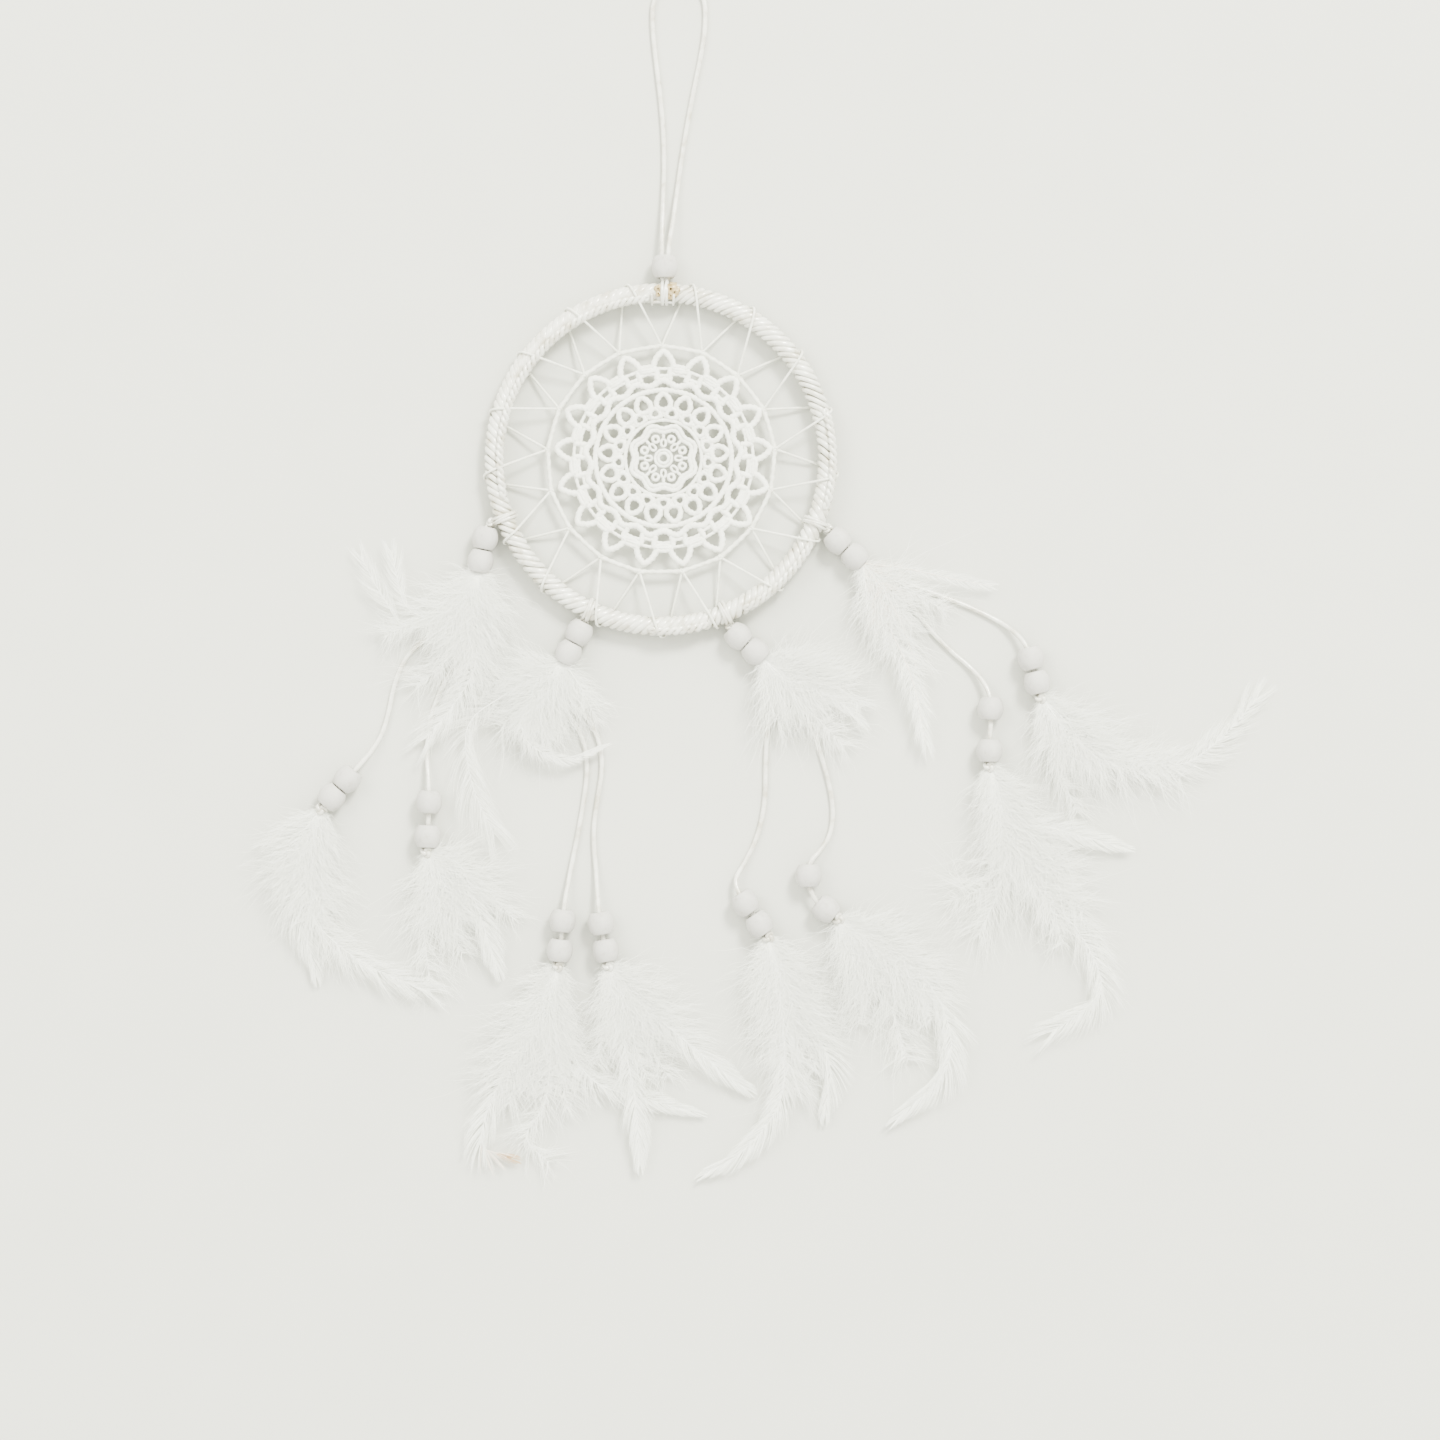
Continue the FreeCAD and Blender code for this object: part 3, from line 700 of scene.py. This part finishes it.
# Where the half hitches of the wrap make a ridge: from angle, to angle, and where round the tube it runs.
RIDGES = ((94, 194, 122), (266, 286, 62), (299, 332, 62), (343, 377, 62))


def ring_ridge():
    """The ridge that the wrap's half hitches make: two strands that twist about each other."""
    piece = Piece()
    for low, high, phi in RIDGES:
        span = radians(high - low)
        steps = int(span * RING_R / 0.28)
        theta = np.linspace(radians(low), radians(high), steps)
        run = (theta - theta[0]) * RING_R
        for start in (0.0, pi):
            spin = 2 * pi * run / 4.4 + start
            fade = np.minimum(1, np.minimum(run, run[::-1]) / 3.0)
            lift = WRAP_R + 0.4 * fade + 0.4 * np.cos(spin) * fade - 0.4 * (1 - fade)
            shift = radians(phi) + 0.2 * np.sin(spin)
            piece.tube(around_ring(theta, shift, lift), 0.72, 8)
    return belongs(piece.build("ring_ridge", SATIN), "ring", "satin_wrap")


# --- Web ---


def corner_angle(k):
    return 90 + 360 / ANCHORS * k


def web_corners():
    rng = np.random.default_rng(3)
    return [
        heading(corner_angle(k) + rng.uniform(-0.5, 0.5)) * (WEB_R + rng.uniform(-0.2, 0.2))
        + np.array([0, 0, MID_Z])
        for k in range(ANCHORS)
    ]


CORNERS = web_corners()


def web_ring():
    """A twisted cord pulled into a polygon, knotted at each corner."""
    piece = Piece()
    for a, b in zip(CORNERS, CORNERS[1:] + CORNERS[:1]):
        path = spaced(np.array([a, (a * 0.5 + b * 0.5) * np.array([1.004, 1.004, 1]), b]), 26)
        piece.tube(path, 0.7, 8, twist=2.6, ply=0.16)
    for corner in CORNERS:
        knot(piece, corner, 1.05, 0.36, turn=np.degrees(corner[0]))
    return belongs(piece.build("web_ring_cord", THREAD), "ring", "web_thread", "web_ring")


# Degrees from a corner to where its thread meets the front of the ring, and from the back to the next
# corner. Three of them keep clear of a pendant.
FRONT_LEAD = 8.5
BACK_LEAD = 7.5
LEAD_SHIFT = {5: (2.2, 0.0), 9: (-1.6, -4.6), 11: (-0.8, -1.4)}


def web_thread():
    """From each corner over the front of the ring, round it, and back from behind to the next corner."""
    piece = Piece()
    for k in range(ANCHORS):
        start, end = CORNERS[k], CORNERS[(k + 1) % ANCHORS]
        shift = LEAD_SHIFT.get(k, (0, 0))
        front = corner_angle(k) + FRONT_LEAD + shift[0]
        back = corner_angle(k + 1) - BACK_LEAD + shift[1]
        phi = np.radians(np.linspace(108, -108, 17))
        theta = np.radians(np.linspace(front, back, 17))
        loop = around_ring(theta, phi, WRAP_R + 0.36)
        out = spaced(np.array([start + unit(loop[0] - start) * 0.5, loop[0]]), 24)
        home = spaced(np.array([loop[-1], end + unit(loop[-1] - end) * 0.5]), 24)
        path = np.vstack([out[:-1], loop, home[1:]])
        piece.tube(path, 0.41, 6, twist=1.5, ply=0.12)
    return belongs(piece.build("web_threads", THREAD), "ring", "web_thread", "web_thread")


# --- Doily ---

YARN_STEP = 0.42
YARN_TWIST = 1.5
YARN_PLY = 0.15
# Closed rounds of yarn: radius, the yarn's own radius, and then the waves, how deep they are, how far they
# are turned and how high the round lies.
ROUNDS = (
    (23.45, 1.05, ANCHORS, 0.85, 0.0, 0.1),
    (21.2, 0.85),
    (11.9, 0.6),
    (9.9, 0.72, 8, 0.7, 22.5, 0.1),
    (8.7, 0.7, 8, 0.6, 22.5),
    (2.6, 0.5),
    (1.6, 0.55, 0, 0.0, 0.0, 0.1),
)


class Lace:
    """Crochet yarn laid in the doily's own plane, in polar places about its middle."""

    def __init__(self):
        self.piece = Piece()
        self.rng = np.random.default_rng(11)

    def yarn(self, path, radius, closed):
        length = np.linalg.norm(np.diff(path, axis=0), axis=1).sum()
        path = spaced(np.vstack([path, path[:1]]) if closed else path, max(6, int(length / YARN_STEP)))
        path = path[:-1] if closed else path
        self.piece.tube(path + DOILY_CENTRE, radius, 7, closed, flat=0.85, twist=YARN_TWIST, ply=YARN_PLY)

    def loop(self, angle, at, along_r, across_r, radius, lift=0.0, point=0.0):
        """An oval loop: its half length outwards, its half width, and how far its tip is drawn in."""
        t = np.linspace(0, 2 * pi, 40, endpoint=False)
        out, side = heading(angle), heading(angle + 90)
        tilt = self.rng.uniform(-0.12, 0.12)
        path = (
            out * (at + along_r * np.cos(t))[:, None]
            + side * (across_r * np.sin(t) * (1 - point * np.cos(t)))[:, None]
            + np.array([0, 0, 1.0]) * (lift + tilt * np.cos(t) + 0.1 * np.sin(2 * t))[:, None]
        )
        self.yarn(path, radius, True)

    def ring(self, radius_at, radius, waves=0, depth=0.0, shift=0.0, lift=0.0):
        """A closed round, drawn out a little at each of its waves."""
        t = np.linspace(0, 2 * pi, 360, endpoint=False)
        r = radius_at + depth * np.cos(waves * (t - radians(90 + shift)))
        z = lift + 0.12 * np.sin(3 * t + radius_at)
        self.yarn(np.stack([r * np.cos(t), r * np.sin(t), z], axis=1), radius, True)

    def bar(self, places, radius, lift=0.0):
        """Yarn through (angle, radius) places."""
        points = np.array([heading(a) * r + np.array([0, 0, lift]) for a, r in places])
        self.yarn(smooth_path(points, 24) if len(points) > 2 else points, radius, False)


def beside(angle, radius, offset):
    """The (angle, radius) place this far to the side of a ray from the middle."""
    return angle + np.degrees(offset / radius), radius


def outer_petal(lace, angle, step):
    """A domed petal with the pad between it and the next, both on the outermost round."""
    gap = angle + step / 2
    half = [(3.4, 28.2), (2.9, 29.8), (2.0, 31.6)]
    dome = [beside(angle, r, -x) for x, r in half] + [(angle, 33.3)]
    dome += [beside(angle, r, x) for x, r in reversed(half)]
    lace.bar(dome, 1.0)
    lace.bar([(angle - 5.4, 28.0), (angle + 5.4, 28.0)], 0.52)
    lace.loop(gap, 28.0, 0.85, 2.7, 0.72, 0.15)
    lace.bar([(gap - 5.0, 28.0), (gap + 5.0, 28.0)], 0.5, 0.45)
    lace.bar([(gap - 6.5, 26.2), (gap, 26.5), (gap + 6.5, 26.2)], 0.62)
    for side in (-2.0, 2.0):
        lace.bar([beside(angle, 24.3, side), beside(angle, 28.2, side)], 0.9)
    lace.bar([(angle - 4, 25.7), (angle + 4, 25.7)], 0.6)


def inner_petal(lace, angle, step):
    """A round of small petals, and the round of holes inside them."""
    gap = angle + step / 2
    lace.loop(angle, 17.6, 2.5, 2.15, 0.9, point=0.3)
    lace.loop(gap, 14.1, 1.5, 1.6, 0.68, 0.1, point=0.2)
    lace.bar([(angle - 4.5, 12.6), (angle, 13.5), (angle + 4.5, 12.6)], 0.5)
    lace.bar([(angle, 13.5), (angle, 15.4)], 0.6)


def rosette(lace, lobe, valley):
    """One of the eight parts of the middle flower: a tiny ring, and the oval beside it."""
    lace.loop(lobe, 6.35, 1.0, 0.95, 0.52)
    lace.loop(valley, 4.75, 1.2, 0.75, 0.42, 0.1)
    lace.bar([(valley, 6.1), (valley, 7.7)], 0.5)


def doily():
    lace, step = Lace(), 360 / ANCHORS
    for k in range(ANCHORS):
        outer_petal(lace, 90 + step * k, step)
        inner_petal(lace, 90 + step * k, step)
    for closed_round in ROUNDS:
        lace.ring(*closed_round)
    for k in range(8):
        rosette(lace, 22.5 + 45 * k, 45 * k)
    return belongs(lace.piece.build("crochet_doily", COTTON), "ring", "crochet", "doily")


# --- Ties ---


def tie_turns(piece, angle, lean=0.5):
    """Two turns of cord round the ring, drawn together at the outside, and one that crosses them."""
    phi = np.linspace(0, 2 * pi, 40, endpoint=False)
    for side in (-0.75, 0.75):
        squeeze = 0.75 + 0.25 * (1 - np.cos(phi)) / 2
        theta = radians(angle) + (side * squeeze + 0.12 * np.sin(phi + side)) / RING_R
        piece.tube(around_ring(theta, phi, WRAP_R + 0.5), 0.52, 10, closed=True, flat=1.1)
    phi = np.linspace(-0.35 * pi, 0.9 * pi, 30)
    theta = radians(angle) + lean * np.cos(phi) / RING_R
    piece.tube(around_ring(theta, phi, WRAP_R + 0.78), 0.45, 10)


def pendant_tie(name, angle, lower, bead_angle):
    """The tie, its knot, and the doubled cord that runs on through both beads."""
    piece = Piece()
    tie_turns(piece, angle)
    at = on_ring(angle, KNOT_OUT, 0)
    knot(piece, at, 1.75, 0.6, turn=angle)
    upper = np.array(lower) - heading(bead_angle)[:2] * BEAD_PITCH
    start, side = mouth(upper, bead_angle, -BEAD_H + 0.9), heading(bead_angle + 90) * LEG_SIDE
    end = mouth(lower, bead_angle, -0.5)
    for s in (-1, 1):
        piece.tube(spaced(np.array([at, start + side * s * 0.9, end + side * s]), 16), 0.7, 10)
    return belongs(piece.build(f"{name}_tie_cord", SATIN), f"{name}_pendant", "satin_cord", f"{name}_tie")


def hanger_tie():
    piece = Piece()
    tie_turns(piece, HANGER_ANGLE, -0.6)
    knot(piece, on_ring(HANGER_ANGLE, KNOT_OUT, 0), 1.7, 0.6, turn=20)
    return belongs(piece.build("hanger_tie_cord", SATIN), "hanger", "satin_cord", "hanger_tie")


def staple_end():
    """The wrap's cut end, laid along the ring's inner edge and held down at both ends."""
    piece = Piece()
    theta = np.radians(np.linspace(93.4, 85.2, 16))
    piece.tube(around_ring(theta, np.full(16, radians(150)), WRAP_R + 0.35), 0.5, 8)
    for angle in (93.2, 85.4):
        phi = np.radians(np.linspace(100, 200, 12))
        piece.tube(around_ring(np.full(12, radians(angle)), phi, WRAP_R + 0.55), 0.42, 8)
    return belongs(piece.build("wrap_end", SATIN), "ring", "satin_wrap")


# Dried glue sits at this distance from the ring's middle line, in drops a little under half as high as wide.
GLUE_REACH = 3.2
GLUE_FLATNESS = 0.45
# Each drop: its angle, how far out from the ring's middle line it is, and its size.
GLUE_DROPS = (
    (86.6, 0.9, 1.9), (85.2, 0.0, 1.5), (90.9, 1.0, 1.3),
    (86.4, -1.2, 1.3), (90.8, -0.6, 1.0), (84.4, 1.0, 1.0),
)


def glue_blobs():
    """Drops of dried glue round the hanger's tie."""
    rng = np.random.default_rng(5)
    piece = Piece()
    for angle, out, size in GLUE_DROPS:
        blob(piece, on_ring(angle, out, np.sqrt(GLUE_REACH**2 - out**2)), size, rng)
    return belongs(piece.build("glue_blobs", GLUE), "ring", "glue")


def blob(piece, centre, size, rng):
    """A low uneven drop."""
    v = np.linspace(0.15, pi - 0.15, 8)[:, None]
    u = np.linspace(0, 2 * pi, 12, endpoint=False)[None, :]
    r = size * (1 + 0.12 * np.cos(3 * u + rng.uniform(0, 6)))
    ball = [np.sin(v) * np.cos(u), np.sin(v) * np.sin(u), GLUE_FLATNESS * np.cos(v) * np.ones_like(u)]
    rows = r[..., None] * np.stack(ball, axis=-1) + centre
    first, last = piece.grid(rows, False, True)
    piece.faces += [first, last[::-1]]
    piece.slots += [0, 0]


# --- Feathers ---

# For each kind, how these change from root to tip: the reach of the barbs, their angle to the shaft, and
# how much they wander. Then their width, and how many there are for each millimetre of shaft.
KINDS = {
    "down": (((0, 0.4), (0.3, 1), (0.7, 1), (1, 0.7)), ((0, 62), (1, 50)), ((0, 0.5), (1, 0.5)), 0.12, 10),
    "vane": (
        ((0, 0.4), (0.3, 1), (0.7, 0.95), (0.9, 0.7), (1, 0.35)), ((0, 62), (0.5, 46), (0.75, 30), (1, 13)),
        ((0, 0.5), (0.45, 0.3), (0.7, 0.06), (1, 0.03)), 0.13, 13,
    ),
    "round": (
        ((0, 0.4), (0.3, 1), (0.8, 1), (1, 0.8)), ((0, 62), (0.6, 48), (1, 24)),
        ((0, 0.5), (0.5, 0.28), (1, 0.12)), 0.12, 12,
    ),
    "wisp": (
        ((0, 0.1), (0.3, 0.5), (0.7, 1), (0.95, 0.9), (1, 0.4)), ((0, 55), (1, 28)),
        ((0, 0.4), (0.6, 0.15), (1, 0.08)), 0.09, 7,
    ),
}
BARB_STEPS = 4
LEAST_Z = 0.15
FULLNESS = 1.25
SHAFT_RADII = (0.26, 0.05)
FILL_REACH = (8, 13)


def barb(piece, start, way, along, reach, width, wander, rng, slot):
    """One flat tapered fibre that bends towards the feather's tip and wanders a little."""
    t = np.linspace(0, 1, BARB_STEPS + 1)[:, None]
    drift = np.cumsum(rng.normal(0, wander * reach / BARB_STEPS, (BARB_STEPS + 1, 3)), axis=0) * t
    drift[:, 2] *= 0.35
    path = start + way * reach * (t - 0.3 * t**2) + along * reach * 0.45 * t**2 + drift
    path[:, 2] = np.maximum(path[:, 2], LEAST_Z)
    across = unit(np.cross(way, [0, 0, 1.0]) + rng.normal(0, 0.1, 3)) * width / 2
    taper = 1 - 0.8 * t**1.5
    piece.grid(np.stack([path - across * taper, path + across * taper], axis=1), False, False, slot)


def clumps(length, rng):
    """How a feather's barbs gather: smooth noise along its shaft, for one side."""
    knots = max(4, int(length / 2.2))
    return np.linspace(0, 1, knots), rng.normal(0, 1, knots)


def shaft_path(points, root_z, tip_z, rng):
    flat = np.array([(*p, 0.0) for p in points])
    shaft = smooth_path(flat, max(12, int(np.linalg.norm(np.diff(flat, axis=0), axis=1).sum() / 1.5)))
    s = np.linspace(0, 1, len(shaft))
    arch = 1.6 * np.sin(pi * s) * rng.uniform(0.2, 1.0)
    shaft[:, 2] = root_z + (tip_z - root_z) * s**0.8 + arch + rng.uniform(-0.6, 0.9) * s
    return shaft


def feather(piece, kind, reach, shaft, rng, tint):
    """A shaft with barbs down both sides."""
    reaches, angles, wanders, width, rate = KINDS[kind]
    steps = len(shaft) - 1
    piece.tube(shaft, np.interp(np.linspace(0, 1, steps + 1), [0, 1], SHAFT_RADII), 5, slot=tint(0))
    along = tangents(shaft, False)
    length = np.linalg.norm(np.diff(shaft, axis=0), axis=1).sum()
    gather = {side: clumps(length, rng) for side in (-1, 1)}
    for u in np.sort(rng.uniform(0.0, 1.0, int(length * rate))):
        i = min(int(u * steps), steps - 1)
        start = shaft[i] + (shaft[i + 1] - shaft[i]) * (u * steps - i)
        side, loose = rng.choice((-1, 1)), np.interp(u, *zip(*wanders))
        clump = np.interp(u, *gather[side])
        angle = radians(np.interp(u, *zip(*angles)) + rng.normal(0, 1.5 + 10 * loose) + 40 * loose * clump)
        out = unit(np.cross([0, 0, 1.0], along[i])) * side
        way = unit(along[i] * cos(angle) + out * sin(angle) + np.array([0, 0, rng.normal(0.02, 0.13)]))
        size = reach * np.interp(u, *zip(*reaches)) * (1 + loose * (rng.uniform(-0.7, 0.5) + 0.6 * clump))
        barb(piece, start, way, along[i], max(size, 1.0), width, loose, rng, tint(u))


# Which of the tints a feather has, this share of the way from its root to its tip.


def plain(u):
    return WHITE


def brown_tip(u):
    return BROWN if u > 0.93 else CREAM if u > 0.86 else WHITE


def cream_base(u):
    return CREAM if u < 0.3 else WHITE


SPECIAL_TINTS = {
    ("lower_left_outer", 1): brown_tip,
    ("right", 0): cream_base,
    ("right", 1): cream_base,
    ("right", 2): cream_base,
}


def extra_down(shafts, rng):
    """A short downy shaft between two of the tuft's own."""
    first, second = rng.choice(len(shafts), 2, replace=False)
    share, cut = rng.uniform(0.2, 0.8), rng.uniform(0.45, 0.8)
    a, b = (spaced(shafts[i], 24) for i in (first, second))
    return spaced((a * (1 - share) + b * share)[: int(24 * cut)], 16)


def tuft(name, body, root_z, tip_z, extra, feathers, seed):
    rng = np.random.default_rng(seed)
    piece = Piece()
    shafts = [shaft_path(points, root_z, tip_z, rng) for _, _, points in feathers]
    for n, ((kind, reach, _), shaft) in enumerate(zip(feathers, shafts)):
        feather(piece, kind, reach * FULLNESS, shaft, rng, SPECIAL_TINTS.get((name, n), plain))
    full = [shaft for (kind, _, _), shaft in zip(feathers, shafts) if kind != "wisp"]
    for _ in range(extra):
        feather(piece, "down", rng.uniform(*FILL_REACH), extra_down(full, rng), rng, plain)
    obj = piece.build(f"{name}_plumes", *FEATHER_TINTS)
    return belongs(obj, body, "feather", f"{name}_feathers")


# --- Build ---


def build_strand(name, route, slider, end_bead, seed):
    curve = belongs(cord_curve(f"{name}_line", route), f"{name}_strand", "satin_cord", f"{name}_cord")
    beads = [
        bead(f"{name}_slider_bead", *slider, f"{name}_bead", f"{name}_slider", seed),
        bead(f"{name}_stop_bead", *end_bead, f"{name}_strand", f"{name}_end_bead", seed + 1),
    ]
    piece = Piece()
    knot(piece, mouth(*end_bead, END_KNOT_OUT), 2.1, 0.68, turn=end_bead[1])
    tied = belongs(piece.build(f"{name}_end_knot", SATIN), f"{name}_strand", "satin_cord")


def build_pendant(name, angle, lower, bead_angle, seed):
    pendant_tie(name, angle, lower, bead_angle)
    upper = tuple(np.array(lower) - heading(bead_angle)[:2] * BEAD_PITCH)
    bead(f"{name}_first_bead", upper, bead_angle, f"{name}_pendant", f"{name}_upper_bead", seed)
    bead(f"{name}_second_bead", lower, bead_angle, f"{name}_pendant", f"{name}_lower_bead", seed + 1)


def build_hanger():
    loop = belongs(cord_curve("hanger_line", HANGER_ROUTE), "hanger", "satin_cord", "hanger_cord")
    top = bead("hanger_top_bead", *HANGER_BEAD, "hanger_slider", "hanger_bead", 40)
    hanger_tie()


for number, (strand, (length, route, slider, end_bead)) in enumerate(STRANDS.items()):
    build_strand(strand, route, slider, end_bead, 50 + 2 * number)
build_hanger()
for number, (pendant, spec) in enumerate(PENDANTS.items()):
    build_pendant(pendant, *spec, 80 + 2 * number)
ring_wrap()
ring_ridge()
web_ring()
web_thread()
doily()
staple_end()
glue_blobs()
for number, (name, spec) in enumerate(TUFTS.items()):
    tuft(name, *spec, 100 + number)

for node, mat in (("hoop_core", STEEL), ("glue_dab", GLUE)):
    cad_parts[node].data.materials.clear()
    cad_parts[node].data.materials.append(mat)
